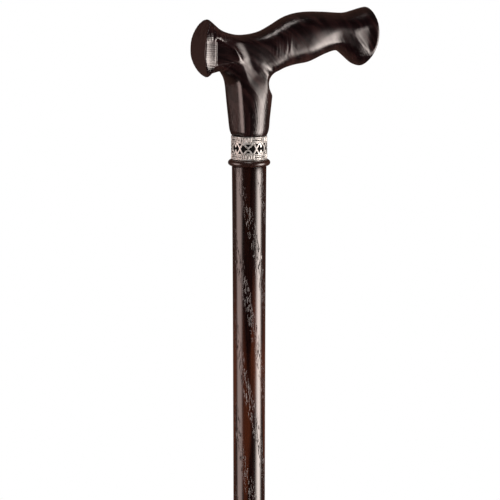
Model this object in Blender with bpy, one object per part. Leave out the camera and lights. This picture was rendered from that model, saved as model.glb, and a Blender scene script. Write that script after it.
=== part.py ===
"""A walking cane: carved hardwood palm grip, metal collar, turned bead, tapered shaft and rubber ferrule.

Metres, +Z up along the shaft. The origin is the middle of the ferrule's sole. The handle's nose points to -X
and its tail to +X, and the two sides of the handle are alike.
"""

import math

import bmesh
import bpy
import numpy as np

MM = 0.001

# Clearances
SEAT_GAP = 0.3 * MM  # between faces that seat on each other
BORE_GAP = 0.3 * MM  # round a pin, a spigot or a foot in its bore
CUT_OVER = 2.0 * MM  # how far a cutter runs past the face that it opens

# Rubber ferrule
FERRULE_HEIGHT = 46 * MM
FERRULE_FLOOR = 8.5 * MM  # rubber between the sole and the washer
FERRULE_WALL = 3.2 * MM  # at the mouth
SOLE_PROUD = 5.35 * MM  # how far the sole's flange stands out from the cup's wall
SOLE_HEIGHT = 7.5 * MM
SOLE_ROUNDING = 1.2 * MM
SOLE_FILLET = 7 * MM  # how far the sole's flange runs up the cup
LIP_PROUD = 1.2 * MM
LIP_HEIGHT = 3.6 * MM
TREAD_DEPTH = 1.5 * MM
TREAD_WIDTH = 2.0 * MM
TREAD_RADII = (6.0 * MM, 10.5 * MM)  # middle of each ring groove in the sole

# Steel washer on the socket's floor
WASHER_THICK = 1.6 * MM
WASHER_HOLE = 3.2 * MM

# Shaft, from its foot to the shoulder under the bead
SHAFT_LENGTH = 814 * MM
SHAFT_FOOT_RADIUS = 8.4 * MM
SHAFT_TOP_RADIUS = 9.92 * MM  # the even taper carried up to the shoulder
SHAFT_FLARE = 0.5 * MM  # what the shoulder adds to it
SHAFT_FLARE_LENGTH = 60 * MM
FOOT_CHAMFER = 0.8 * MM

# Turned bead
BEAD_HEIGHT = 5.0 * MM
BEAD_PROUD = 2.33 * MM  # past the shaft's shoulder

# Metal collar
COLLAR_HEIGHT = 13.9 * MM
COLLAR_PROUD = 0.48 * MM  # past the shaft's shoulder
COLLAR_WALL = 1.4 * MM
COLLAR_BAND = 3.6 * MM  # height of the ribbed band at each end
COLLAR_RIBS = 3  # in each band
COLLAR_RELIEF = 0.5 * MM  # how deep the field between the bands, and each groove in them, is sunk

# Steel stud that joins the handle to the shaft, threaded at both ends and glued in
STUD_RADIUS = 4.0 * MM
STUD_PITCH = 2.0 * MM
STUD_THREAD_DEPTH = 0.5 * MM
STUD_THREAD_LENGTH = 20 * MM
STUD_IN_HANDLE = 30 * MM
STUD_IN_SHAFT = 44 * MM  # below the spigot's end
GLUE_ROOM = 1.5 * MM  # free depth past each end of the stud

# Handle
NOSE_LENGTH = 33.4 * MM  # from the shaft's axis
TAIL_LENGTH = 78.4 * MM
HANDLE_HEIGHT = 74.5 * MM  # from the collar to the tail's top
HANDLE_WIDTH = 26.8 * MM
SEAT_STEP = 0.2 * MM  # how far the handle's foot stands in from the collar's edge

# The carving sheet: the handle's shape in millimetres, drawn for a handle of this nose, tail, height and
# width. Lengths are from the shaft's axis and heights from the seat, and they follow the sizes above.
SHEET_NOSE = 33.4
SHEET_TAIL = 78.4
SHEET_HEIGHT = 74.5
SHEET_WIDTH = 26.8
NOSE_ARC = (34.0, 23.0, 51.0)  # radius of the end's edge above and below its foremost point, and that height
TAIL_ARC = (29.5, 29.5, 61.5)
HEAD_SQUARENESS = 2.25  # 2 is an ellipse
HEAD_STATIONS = (  # along the head: distance, top, bottom, half width
    (-38, 76.4, 31.5, 14.6),
    (-31.5, 73.5, 33.9, 13.4),
    (-28.5, 71.8, 35.3, 12.6),
    (-25.5, 70.0, 37.2, 12.3),
    (-19, 64.5, 39.4, 12.35),
    (-12, 61.9, 39.4, 12.5),
    (-4.6, 60.8, 38.5, 12.1),
    (6, 62.2, 36.5, 11.4),
    (14, 65.6, 36.4, 11.4),
    (22, 69.9, 39.9, 12.3),
    (37, 72.7, 42.8, 13.1),
    (48, 72.2, 47.3, 12.9),
    (56, 71.4, 49.2, 12.8),
    (61, 71.1, 44.6, 13.0),
    (66.5, 72.1, 40.7, 13.2),
    (72, 73.8, 39.2, 13.4),
    (78, 74.7, 39.4, 13.6),
    (86, 75.2, 40.2, 13.6),
)
STEM_STATIONS = (  # up the stem: height, middle, and how far it swells past the seat lengthways and across
    (-4, 0.0, -0.1, -0.1),
    (0, 0.0, 0.0, 0.0),
    (2.5, 0.0, 1.1, 1.05),
    (10, -0.1, 2.0, 1.5),
    (20, -0.1, 3.2, 1.9),
    (26, -0.1, 3.9, 1.9),
    (32, -0.4, 4.5, 1.8),
    (38, -1.2, 6.0, 1.7),
    (44, -2.5, 7.7, 1.3),
    (52, -3.6, 7.7, -0.2),
)
NOSE_RIDGE = (  # the edge between the nose's scoop and the finger bowl, as (distance, height) corners
    (-36, 64.6),
    (-31.5, 63.4),
    (-27.6, 61.7),
    (-21.8, 58.9),
    (-15.0, 54.4),
    (-10.5, 47.7),
    (-8.35, 41.3),
    (-5.5, 32.7),
    (0.64, 26.9),
    (5.0, 20.7),
    (8.5, 14),
)
TAIL_RIDGE = (  # the edge between the tail's fin and the hollow under it
    (44, 69.6),
    (52.3, 67.5),
    (56.6, 64.8),
    (60.7, 62.3),
    (64.5, 57.8),
    (69.0, 52.4),
    (71.6, 48.4),
    (74.5, 42),
    (77, 36),
)
RIDGE_RIM = 12.35  # how far off the middle the nose's ridge stands
RIDGE_LIP = 0.3  # what the two ridges stand proud by
LIP_SPREAD = 0.9
RIDGE_STEPS = 12  # points from corner to corner
EDGE_BLEND = 0.8  # how far carved edges are rounded over
FINE_BLEND = 0.5
MIDDLE_KEPT = (0, 3)  # half widths between which the carving of the sides comes in
UNDERSIDE = {
    "height": 37.5,
    "slope": 0.6,
    "fall": 30,
    "stem": (-20.5, -17),  # distances between which it falls away to the stem
    "cap": (-24, -34),  # and to the nose's end
}
BACK_GROOVE = {
    "middle": -0.8,
    "height": 30.2,  # where the groove crosses the back of the stem
    "climb": 5.0,  # what it has risen by at 60 degrees round from there
    "radius_above": 8.0,
    "radius_below": 12.0,
    "floor": 2.0,  # past the seat's radius
    "fade": (28, 88),  # degrees round, where the groove runs out
    "faded": 3.2,
    "front": (75, 105),
    "front_faded": 9.0,
    "most_turned": 96,
    "widest": 23,  # nothing further out from the middle is cut
}
FRONT_FLATS = {
    "lean": 59,  # degrees round from the side that each flat faces
    "heights": (0, 2.5, 10, 20, 26, 32, 38),
    "reach": (0.0, 0.5, 0.9, 1.7, 2.2, 3.1, 4.7),  # past the seat's radius
    "fade": (22, 35),
    "least_facing": 0.2,
}
NOSE_SCOOP = {
    "cap_foot": -24.8,  # where the wall behind the nose's end meets the floor
    "floor": 9.6,  # how far off the middle it is there
    "rise": 0.09,
    "cap_top": 13.5,  # and at the nose's end
    "lower": (47, 27),  # heights between which the floor comes out to the stem
    "lower_rise": 4.6,
    "foot": (30, 20),
    "foot_rise": 3.0,
    "slope_high": 1.9,
    "slope_low": 0.42,
    "slope_fade": (52, 32),
    "blend": 2.5,
    "far_slope": 0.3,  # of the limit on the ridge's other side
}
FINGER_BOWL = {
    "width": 6.5,
    "wider": 9.0,  # what the width gains towards the foot of the bowl
    "drop": 2.0,
    "deeper": 1.3,
    "low": (42, 28),  # heights between which it gets wider and deeper
    "foot": (34, 12),  # and those between which it runs out down the stem
    "far": (14, 44),  # distances over which it comes out into the grip
    "far_rise": 4.0,
    "far_slope": -2.0,  # of the limit on the ridge's other side
}
TAIL_FORM = {
    "hollow": 12.1,  # how far off the middle each of the two is left
    "fin": 12.2,
    "fin_at": 71,  # the distance where the fin is thinnest
    "fin_bow": 0.007,
    "end_bow": 0.02,
    "bank": 1.5,  # how steeply the fin drops to the hollow
}
BLANK_GRAIN = 0.8 * MM
BLANK_PASSES = 14
CARVING_GRAIN = 0.8 * MM  # size of the finest carved detail
CARVING_PASSES = 4  # of smoothing
CARVING_KEPT = 0.1  # share of the fine faces that the finished surface keeps
TRIM_STEPS = 32  # of each end's arc
ARC_USED = 0.92  # share of the arc's radius that it reaches up and down

ROUND_SIDES = 40
SMALL_SIDES = 20  # of a bore, the stud and the washer's hole
HEAD_SIDES = 40
SMOOTH_EDGE = math.radians(35)
MERGE = 0.001 * MM

# Heights and radii worked out from the sizes above
WASHER_BASE = FERRULE_FLOOR + SEAT_GAP
SHAFT_BASE = WASHER_BASE + WASHER_THICK + SEAT_GAP
SHOULDER = SHAFT_BASE + SHAFT_LENGTH
BEAD_BASE = SHOULDER + SEAT_GAP
COLLAR_BASE = BEAD_BASE + BEAD_HEIGHT + SEAT_GAP
SEAT = COLLAR_BASE + COLLAR_HEIGHT + SEAT_GAP
SPIGOT_END = SEAT - SEAT_GAP
SHOULDER_RADIUS = SHAFT_TOP_RADIUS + SHAFT_FLARE
COLLAR_RADIUS = SHOULDER_RADIUS + COLLAR_PROUD
SPIGOT_RADIUS = COLLAR_RADIUS - COLLAR_WALL - BORE_GAP  # of the shaft's end inside the bead and the collar
SEAT_RADIUS = COLLAR_RADIUS - SEAT_STEP


def clear_scene():
    for obj in list(bpy.data.objects):
        bpy.data.objects.remove(obj, do_unlink=True)


def shaft_radius(height):
    """The shaft's outer radius at a height above the floor."""
    share = (height - SHAFT_BASE) / SHAFT_LENGTH
    taper = SHAFT_FOOT_RADIUS + (SHAFT_TOP_RADIUS - SHAFT_FOOT_RADIUS) * share
    return taper + SHAFT_FLARE * math.exp((height - SHOULDER) / SHAFT_FLARE_LENGTH)


def curve_through(stations, place):
    """The values of a smooth curve through (place, values...) stations, at one place."""
    last = len(stations) - 1
    i = 0
    while i < last - 1 and place > stations[i + 1][0]:
        i += 1
    a, b = stations[i], stations[i + 1]
    before, after = stations[max(i - 1, 0)], stations[min(i + 2, last)]
    step = b[0] - a[0]
    t = (place - a[0]) / step
    values = []
    for k in range(1, len(a)):
        start = (b[k] - before[k]) / (b[0] - before[0]) * step
        end = (after[k] - a[k]) / (after[0] - a[0]) * step
        rise = b[k] - a[k]
        square, cube = 3 * rise - 2 * start - end, start + end - 2 * rise
        values.append(a[k] + start * t + square * t**2 + cube * t**3)
    return values


def smooth_step(low, high, value):
    share = np.clip((value - low) / (high - low), 0, 1)
    return share**2 * (3 - 2 * share)


def soft_min(a, b, blend):
    """The lower of two values, rounded over where they meet."""
    share = np.clip(0.5 + 0.5 * (b - a) / blend, 0, 1)
    return b * (1 - share) + a * share - blend * share * (1 - share)


def soft_max(a, b, blend):
    return -soft_min(-a, -b, blend)


def oval(half_a, half_b, power, count):
    """Points round a superellipse, as (a, b) pairs."""
    points = []
    for i in range(count):
        angle = 2 * math.pi * i / count
        a, b = math.cos(angle), math.sin(angle)
        rounded_a = math.copysign(abs(a) ** (2 / power), a)
        rounded_b = math.copysign(abs(b) ** (2 / power), b)
        points.append((half_a * rounded_a, half_b * rounded_b))
    return points


def finish_object(name, bm, material=None, helper=False):
    bmesh.ops.recalc_face_normals(bm, faces=bm.faces)
    mesh = bpy.data.meshes.new(name)
    bm.to_mesh(mesh)
    bm.free()
    mesh.shade_smooth()
    mesh.set_sharp_from_angle(angle=SMOOTH_EDGE)
    obj = bpy.data.objects.new(name, mesh)
    bpy.context.scene.collection.objects.link(obj)
    if material:
        mesh.materials.append(material)
    if helper:
        obj.hide_render = True
        obj.display_type = "WIRE"
    return obj


def lofted(name, rings, material=None, helper=False):
    """A closed body through rings of points, with flat ends."""
    bm = bmesh.new()
    loops = []
    for ring in rings:
        loops.append([bm.verts.new(point) for point in ring])
    for low, high in zip(loops, loops[1:]):
        for i in range(len(low)):
            j = (i + 1) % len(low)
            bm.faces.new((low[i], low[j], high[j], high[i]))
    bm.faces.new(loops[0])
    bm.faces.new(loops[-1])
    return finish_object(name, bm, material, helper)


def turned(name, profile, material=None, helper=False, sides=ROUND_SIDES):
    """A body spun about Z from (radius, height) points: a chain from axis to axis, or else a closed ring."""
    bm = bmesh.new()
    chain = [bm.verts.new((radius, 0, height)) for radius, height in profile]
    edges = [bm.edges.new(pair) for pair in zip(chain, chain[1:])]
    if profile[0][0] > 0:
        edges.append(bm.edges.new((chain[-1], chain[0])))
    turn = {"cent": (0, 0, 0), "axis": (0, 0, 1), "angle": 2 * math.pi, "steps": sides, "use_merge": True}
    bmesh.ops.spin(bm, geom=chain + edges, **turn)
    bmesh.ops.remove_doubles(bm, verts=bm.verts, dist=MERGE)
    return finish_object(name, bm, material, helper)


def boolean(obj, other, operation):
    modifier = obj.modifiers.new(f"{operation.lower()} {other.name}", "BOOLEAN")
    modifier.operation = operation
    modifier.object = other
    modifier.solver = "EXACT"


def surface(name, colour, roughness, metallic=0.0):
    material = bpy.data.materials.new(name)
    material.use_nodes = True
    shader = material.node_tree.nodes["Principled BSDF"]
    shader.inputs["Base Color"].default_value = (*colour, 1)
    shader.inputs["Roughness"].default_value = roughness
    shader.inputs["Metallic"].default_value = metallic
    return material


def make_ferrule():
    """The rubber foot: a flanged cup with ring grooves in its sole and a rolled lip."""
    mouth = shaft_radius(FERRULE_HEIGHT) + FERRULE_WALL
    lip = mouth + LIP_PROUD
    sole = mouth + SOLE_PROUD
    profile = [(0, 0)]
    for radius in TREAD_RADII:
        inner, outer = radius - TREAD_WIDTH / 2, radius + TREAD_WIDTH / 2
        profile += [(inner, 0), (inner, TREAD_DEPTH), (outer, TREAD_DEPTH), (outer, 0)]
    profile += [
        (sole - SOLE_ROUNDING, 0),
        (sole - 0.3 * SOLE_ROUNDING, 0.3 * SOLE_ROUNDING),
        (sole, SOLE_ROUNDING),
        (sole, SOLE_HEIGHT - SOLE_ROUNDING),
        (sole - SOLE_ROUNDING, SOLE_HEIGHT),
    ]
    for share in (0.3, 0.6, 0.85):
        drawn_in = (sole - SOLE_ROUNDING - mouth) * (1 - share) ** 3
        profile.append((mouth + drawn_in, SOLE_HEIGHT + share * SOLE_FILLET))
    profile += [
        (mouth, FERRULE_HEIGHT - LIP_HEIGHT - LIP_PROUD),
        (lip, FERRULE_HEIGHT - LIP_HEIGHT),
        (lip, FERRULE_HEIGHT - LIP_PROUD / 2),
        (lip - LIP_PROUD / 2, FERRULE_HEIGHT),
        (shaft_radius(FERRULE_HEIGHT) + BORE_GAP, FERRULE_HEIGHT),
        (shaft_radius(SHAFT_BASE) + BORE_GAP, FERRULE_FLOOR),
        (0, FERRULE_FLOOR),
    ]
    return turned("ferrule", profile, surface("black rubber", (0.018, 0.018, 0.019), 0.75))


def make_washer():
    radius = shaft_radius(SHAFT_BASE)
    top = WASHER_BASE + WASHER_THICK
    profile = [(WASHER_HOLE, WASHER_BASE), (radius, WASHER_BASE), (radius, top), (WASHER_HOLE, top)]
    zinc = surface("zinc-plated steel", (0.55, 0.56, 0.58), 0.35, 1.0)
    return turned("ferrule_washer", profile, zinc, sides=SMALL_SIDES)


def make_shaft():
    """The tapered stick, with its spigot for the bead and the collar and the blind bore for the stud."""
    bore = STUD_RADIUS + BORE_GAP
    bore_floor = SPIGOT_END - STUD_IN_SHAFT - GLUE_ROOM
    low = SHAFT_BASE + FOOT_CHAMFER
    profile = [(0, SHAFT_BASE), (shaft_radius(low) - FOOT_CHAMFER, SHAFT_BASE)]
    steps = 16
    for i in range(steps + 1):
        height = SHOULDER - (SHOULDER - low) * (1 - i / steps) ** 1.6
        profile.append((shaft_radius(height), height))
    profile += [
        (SPIGOT_RADIUS, SHOULDER),
        (SPIGOT_RADIUS, SPIGOT_END),
        (bore, SPIGOT_END),
        (bore, bore_floor),
        (0, bore_floor),
    ]
    return turned("shaft", profile, surface("dark stained wood", (0.022, 0.010, 0.008), 0.22))


def make_bead():
    """A turned ring with a half-round edge."""
    bore = SPIGOT_RADIUS + BORE_GAP
    profile = [(bore, BEAD_BASE)]
    steps = 10
    for i in range(steps + 1):
        angle = math.pi * (i / steps - 0.5)
        height = BEAD_BASE + BEAD_HEIGHT / 2 * (1 + math.sin(angle))
        profile.append((SHOULDER_RADIUS + BEAD_PROUD * math.cos(angle), height))
    profile.append((bore, BEAD_BASE + BEAD_HEIGHT))
    return turned("bead_ring", profile, surface("red-brown wood", (0.060, 0.022, 0.014), 0.25))


def make_collar():
    """The metal sleeve: a ribbed band at each end, and between them the sunk field of the knotwork."""
    bore = SPIGOT_RADIUS + BORE_GAP
    sunk = COLLAR_RADIUS - COLLAR_RELIEF
    half = [(bore, 0)]
    pitch = COLLAR_BAND / COLLAR_RIBS
    for rib in range(COLLAR_RIBS):
        foot = rib * pitch
        half += [(sunk, foot), (COLLAR_RADIUS, foot + 0.25 * pitch), (COLLAR_RADIUS, foot + 0.75 * pitch)]
    half.append((sunk, COLLAR_BAND))
    profile = [(radius, COLLAR_BASE + height) for radius, height in half]
    profile += [(radius, COLLAR_BASE + COLLAR_HEIGHT - height) for radius, height in reversed(half)]
    return turned("collar", profile, surface("silvered metal", (0.72, 0.71, 0.69), 0.28, 1.0))


def make_stud():
    """A steel rod with a screw thread at each end."""
    low, high = SPIGOT_END - STUD_IN_SHAFT, SEAT + STUD_IN_HANDLE
    root = STUD_RADIUS - STUD_THREAD_DEPTH
    half = [(0, 0), (root, 0)]
    for turn in range(round(STUD_THREAD_LENGTH / STUD_PITCH)):
        half += [(STUD_RADIUS, (turn + 0.5) * STUD_PITCH), (root, (turn + 1) * STUD_PITCH)]
    half.append((STUD_RADIUS, half[-1][1] + STUD_THREAD_DEPTH))
    profile = [(radius, low + height) for radius, height in half]
    profile += [(radius, high - height) for radius, height in reversed(half)]
    steel = surface("bright steel", (0.5, 0.5, 0.5), 0.3, 1.0)
    return turned("handle_stud", profile, steel, sides=SMALL_SIDES)


def along(distance):
    """Distances on the carving sheet as places along X."""
    return distance * np.where(distance < 0, NOSE_LENGTH / SHEET_NOSE, TAIL_LENGTH / SHEET_TAIL)


def above(height):
    """Heights on the carving sheet as places along Z."""
    return SEAT + height * HANDLE_HEIGHT / SHEET_HEIGHT


def across(width):
    """Widths on the carving sheet as lengths along Y."""
    return width * HANDLE_WIDTH / SHEET_WIDTH


def head_ring(place):
    top, bottom, half_width = curve_through(HEAD_STATIONS, place)
    section = oval(1, 1, HEAD_SQUARENESS, HEAD_SIDES)
    middle, half_height = (top + bottom) / 2, (top - bottom) / 2
    return [(along(place), across(half_width * y), above(middle + half_height * z)) for y, z in section]


def stem_ring(height):
    middle, longer, wider = (value * MM for value in curve_through(STEM_STATIONS, height))
    section = oval(SEAT_RADIUS + longer, SEAT_RADIUS + wider, 2, HEAD_SIDES)
    return [(middle + x, y, above(height)) for x, y in section]


def arc_back(z, arc):
    """How far an end's edge stands back from its foremost point at a height."""
    radius_above, radius_below, height = arc
    radius = np.where(z > height, radius_above, radius_below)
    off = np.minimum(np.abs(z - height), ARC_USED * radius)
    return radius - np.sqrt(radius**2 - off**2)


def off_ridge(x, z, corners):
    """How far each place stands from a ridge, counted as more above it and to its right."""
    corners = np.array(corners)
    line = []
    for i in range(len(corners) - 1):
        a, b = corners[max(i - 1, 0)], corners[i]
        c, d = corners[i + 1], corners[min(i + 2, len(corners) - 1)]
        t = np.linspace(0, 1, RIDGE_STEPS, endpoint=False)[:, None]
        square, cube = 2 * a - 5 * b + 4 * c - d, 3 * b - a - 3 * c + d
        line.append(b + 0.5 * ((c - a) * t + square * t**2 + cube * t**3))
    line = np.concatenate(line)
    run = np.gradient(line, axis=0)
    run /= np.hypot(run[:, 0], run[:, 1])[:, None]
    away_x, away_z = x[:, None] - line[:, 0], z[:, None] - line[:, 1]
    near = np.argmin(away_x**2 + away_z**2, axis=1)
    row = np.arange(len(near))
    return away_z[row, near] * run[near, 0] - away_x[row, near] * run[near, 1]


def lip(off):
    return RIDGE_LIP * np.exp(-((off / LIP_SPREAD) ** 2))


def carve_underside(x, y, z):
    """The nose's underside slopes up to each side."""
    form = UNDERSIDE
    lowest = form["height"] + form["slope"] * np.abs(y)
    lowest -= form["fall"] * (smooth_step(*form["stem"], x) + smooth_step(*form["cap"], x))
    return np.where(x < form["stem"][1], soft_max(z, lowest, EDGE_BLEND), z)


def carve_back_groove(x, y, z):
    """A groove round the back of the stem, under the fingers."""
    form = BACK_GROOVE
    turned = np.degrees(np.arctan2(np.abs(y), x - form["middle"]))
    reach = np.hypot(x - form["middle"], y)
    off = z - form["height"] - form["climb"] * (np.minimum(turned, form["most_turned"]) / 60) ** 2
    gouge = np.where(off > 0, form["radius_above"], form["radius_below"])
    floor = SEAT_RADIUS / MM + form["floor"] + form["faded"] * smooth_step(*form["fade"], turned)
    floor += form["front_faded"] * smooth_step(*form["front"], turned)
    depth = floor + gouge - np.sqrt(np.clip(gouge**2 - off**2, 0, None))
    outside = (np.abs(off) >= gouge) | (reach > form["widest"])
    cut = np.where(outside, reach, soft_min(reach, depth, FINE_BLEND)) / reach
    return form["middle"] + (x - form["middle"]) * cut, y * cut


def carve_front_flats(x, y, z):
    """A flat down each side of the stem's front."""
    form = FRONT_FLATS
    turned = np.degrees(np.arctan2(-x, np.abs(y)))
    reach = np.hypot(x, y)
    facing = np.cos(np.radians(turned - form["lean"]))
    flat = SEAT_RADIUS / MM + np.interp(z, form["heights"], form["reach"])
    flat /= np.maximum(facing, form["least_facing"])
    cut = np.where(facing > form["least_facing"], soft_min(reach, flat, FINE_BLEND), reach) / reach
    cut = 1 + (cut - 1) * (1 - smooth_step(*form["fade"], z))
    return x * cut, y * cut


def scoop_limit(x, z, off):
    """How far off the middle the nose's scoop leaves the wood."""
    form = NOSE_SCOOP
    end = arc_back(z, NOSE_ARC) - SHEET_NOSE
    share = np.clip((x - end) / (form["cap_foot"] - end), -1, 1)
    floor = form["floor"] + form["rise"] * (x - form["cap_foot"])
    floor += (form["cap_top"] - floor) * (1 - share) ** 2
    foot = form["foot_rise"] * smooth_step(*form["foot"], z)
    floor += form["lower_rise"] * smooth_step(*form["lower"], z) + foot
    eased = smooth_step(*form["slope_fade"], z)
    slope = form["slope_high"] * (1 - eased) + form["slope_low"] * eased
    wall = RIDGE_RIM + slope * off + foot
    far_side = RIDGE_RIM + form["far_slope"] * off
    return np.where(off > 0, far_side, soft_max(wall, floor, form["blend"]))


def bowl_limit(x, z, off):
    """How far off the middle the finger bowl leaves it."""
    form = FINGER_BOWL
    low = smooth_step(*form["low"], z)
    width = form["width"] + form["wider"] * low
    drop = (form["drop"] + form["deeper"] * low) * (1 - smooth_step(*form["foot"], z))
    share = np.clip(off / width, 0, 1)
    bowl = RIDGE_RIM - drop * (1 - (1 - share) ** 2) + form["far_rise"] * smooth_step(*form["far"], x)
    return np.where(off < 0, RIDGE_RIM + form["far_slope"] * off, bowl)


def tail_limit(x, z, off):
    """How far off the middle the tail's fin, and the hollow under it, leave it."""
    form = TAIL_FORM
    bow = np.where(x < form["fin_at"], form["fin_bow"], form["end_bow"])
    fin = form["fin"] + bow * (form["fin_at"] - x) ** 2
    return np.where(off > 0, fin, soft_max(form["hollow"], fin + form["bank"] * off, EDGE_BLEND))


def carve(x, y, z):
    """Each place on the handle's blank, moved to where the carved surface is."""
    z = carve_underside(x, y, z)
    x, y = carve_back_groove(x, y, z)
    x, y = carve_front_flats(x, y, z)
    half = np.abs(y)
    off = off_ridge(x, z, NOSE_RIDGE)
    cut = soft_min(half, bowl_limit(x, z, off) + lip(off), EDGE_BLEND)
    cut = soft_min(cut, scoop_limit(x, z, off) + lip(off), EDGE_BLEND)
    off = off_ridge(x, z, TAIL_RIDGE)
    cut = soft_min(cut, tail_limit(x, z, off) + lip(off), FINE_BLEND)
    return x, np.sign(y) * (half + (cut - half) * smooth_step(*MIDDLE_KEPT, half)), z


def sand(obj, grain, passes):
    carving = obj.modifiers.new("grain", "REMESH")
    carving.mode = "VOXEL"
    carving.voxel_size = grain
    carving.use_smooth_shade = True
    sanding = obj.modifiers.new("sanding", "SMOOTH")
    sanding.factor = 0.5
    sanding.iterations = passes


def make_blank():
    """Head and stem in one, before the carving."""
    first, last = HEAD_STATIONS[0][0], HEAD_STATIONS[-1][0]
    steps = 62
    rings = [head_ring(first + (last - first) * i / steps) for i in range(steps + 1)]
    blank = lofted("blank", rings, helper=True)
    low, high = STEM_STATIONS[0][0], STEM_STATIONS[-1][0]
    steps = 40
    rings = [stem_ring(low + (high - low) * i / steps) for i in range(steps + 1)]
    boolean(blank, lofted("stem", rings, helper=True), "UNION")
    sand(blank, BLANK_GRAIN, BLANK_PASSES)
    return blank


def make_trim():
    """An upright outline that squares the seat and rounds the nose and the tail with an arc each."""
    sides = []
    for end, arc in ((-SHEET_NOSE, NOSE_ARC), (SHEET_TAIL, TAIL_ARC)):
        radius_above, radius_below, height = arc
        side = []
        for i in range(TRIM_STEPS + 1):
            share = i / TRIM_STEPS
            z = height + ARC_USED * (share * (radius_above + radius_below) - radius_below)
            side.append((along(end - math.copysign(arc_back(z, arc), end)), above(z)))
        sides.append(side)
    nose, tail = sides
    foot = [(nose[0][0], SEAT), (tail[0][0], SEAT)]
    half = across(SHEET_WIDTH)
    rings = [[(x, y, z) for x, z in nose[::-1] + foot + tail] for y in (-half, half)]
    trim = lofted("trim", rings, helper=True)
    trim.data.shade_flat()
    return trim


def make_handle():
    """The carved grip: head and stem in one piece of wood, bored for the stud."""
    blank = make_blank()
    graph = bpy.context.evaluated_depsgraph_get()
    mesh = bpy.data.meshes.new_from_object(blank.evaluated_get(graph))
    places = np.empty(3 * len(mesh.vertices))
    mesh.vertices.foreach_get("co", places)
    x, y, z = places.reshape(-1, 3).T
    x = x / np.where(x < 0, -along(-1), along(1))
    x, y, z = carve(x, y / across(1), (z - SEAT) / (above(1) - SEAT))
    mesh.vertices.foreach_set("co", np.stack([along(x), across(y), above(z)], axis=1).ravel())
    mesh.materials.clear()
    mesh.materials.append(surface("dark carved wood", (0.020, 0.009, 0.007), 0.18))
    handle = bpy.data.objects.new("handle", mesh)
    bpy.context.scene.collection.objects.link(handle)
    sand(handle, CARVING_GRAIN, CARVING_PASSES)
    lighter = handle.modifiers.new("fewer faces", "DECIMATE")
    lighter.ratio = CARVING_KEPT
    boolean(handle, make_trim(), "INTERSECT")
    bore = STUD_RADIUS + BORE_GAP
    floor = SEAT - CUT_OVER
    ceiling = SEAT + STUD_IN_HANDLE + GLUE_ROOM
    profile = [(0, floor), (bore, floor), (bore, ceiling), (0, ceiling)]
    boolean(handle, turned("stud_bore", profile, helper=True, sides=SMALL_SIDES), "DIFFERENCE")
    return handle


def main():
    clear_scene()
    make_ferrule()
    make_washer()
    make_shaft()
    make_bead()
    make_collar()
    make_stud()
    make_handle()


main()
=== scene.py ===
import math

import bpy
import numpy as np
from mathutils import Matrix, Vector


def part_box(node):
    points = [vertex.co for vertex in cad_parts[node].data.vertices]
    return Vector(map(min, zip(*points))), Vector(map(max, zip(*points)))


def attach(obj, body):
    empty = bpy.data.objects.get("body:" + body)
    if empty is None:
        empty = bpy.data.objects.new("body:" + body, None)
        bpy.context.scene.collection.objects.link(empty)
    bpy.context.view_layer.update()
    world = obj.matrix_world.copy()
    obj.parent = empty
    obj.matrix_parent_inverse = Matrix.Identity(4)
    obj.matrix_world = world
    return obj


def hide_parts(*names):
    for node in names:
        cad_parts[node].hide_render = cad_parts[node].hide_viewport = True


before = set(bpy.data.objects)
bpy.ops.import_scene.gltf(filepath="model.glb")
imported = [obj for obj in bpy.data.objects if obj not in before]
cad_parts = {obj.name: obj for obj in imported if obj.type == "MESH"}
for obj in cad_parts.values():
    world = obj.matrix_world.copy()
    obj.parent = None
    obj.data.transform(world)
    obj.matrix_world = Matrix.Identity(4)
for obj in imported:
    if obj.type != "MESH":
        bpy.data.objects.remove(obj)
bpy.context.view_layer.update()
print("frame loaded")

mm = 0.001
seam = 0.01 * mm  # points closer than this are joined
far = 99.0  # millimetres, past every cut
tiny = 1e-9  # keeps a division from failing
fullTurn = 2 * math.pi
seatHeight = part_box("handle")[0].z  # where the handle sits on the collar


# shaping helpers

def smoothStep(low, high, value):
    share = np.clip((value - low) / (high - low), 0, 1)
    return share * share * (3 - 2 * share)


def softMin(a, b, blend):
    # the lower of two values, rounded over where they meet
    share = np.clip(0.5 + 0.5 * (b - a) / blend, 0, 1)
    return b * (1 - share) + a * share - blend * share * (1 - share)


def softMax(a, b, blend):
    return -softMin(-a, -b, blend)


def beyond(limit, value):
    return np.clip(value - limit, 0, None)


def hump(width, off):
    # 1 in the middle, falling away to each side
    return np.exp(-((off / width) ** 2))


def curveThrough(stations, place):
    # the values at one place of a smooth curve through (place, values...) stations
    last = len(stations) - 1
    i = 0
    while i < last - 1 and place > stations[i + 1][0]:
        i += 1
    a, b = np.array(stations[i]), np.array(stations[i + 1])
    before, after = np.array(stations[max(i - 1, 0)]), np.array(stations[min(i + 2, last)])
    step = b[0] - a[0]
    t = (place - a[0]) / step
    start = (b - before) / (b[0] - before[0]) * step
    end = (after - a) / (after[0] - a[0]) * step
    rise = b - a
    curve = a + start * t + (3 * rise - 2 * start - end) * t**2 + (start + end - 2 * rise) * t**3
    return curve[1:]


def evenly(stations, steps):
    # even places from the first station to the last, each with its values
    for place in np.linspace(stations[0][0], stations[-1][0], steps):
        yield place, curveThrough(stations, place)


def chosen():
    return bpy.context.view_layer.objects.active


def mode(name):
    bpy.ops.object.mode_set(mode=name)


def pick(piece=None):
    # selects one piece alone, or nothing
    bpy.ops.object.select_all(action="DESELECT")
    if piece:
        piece.select_set(True)
        bpy.context.view_layer.objects.active = piece


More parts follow.
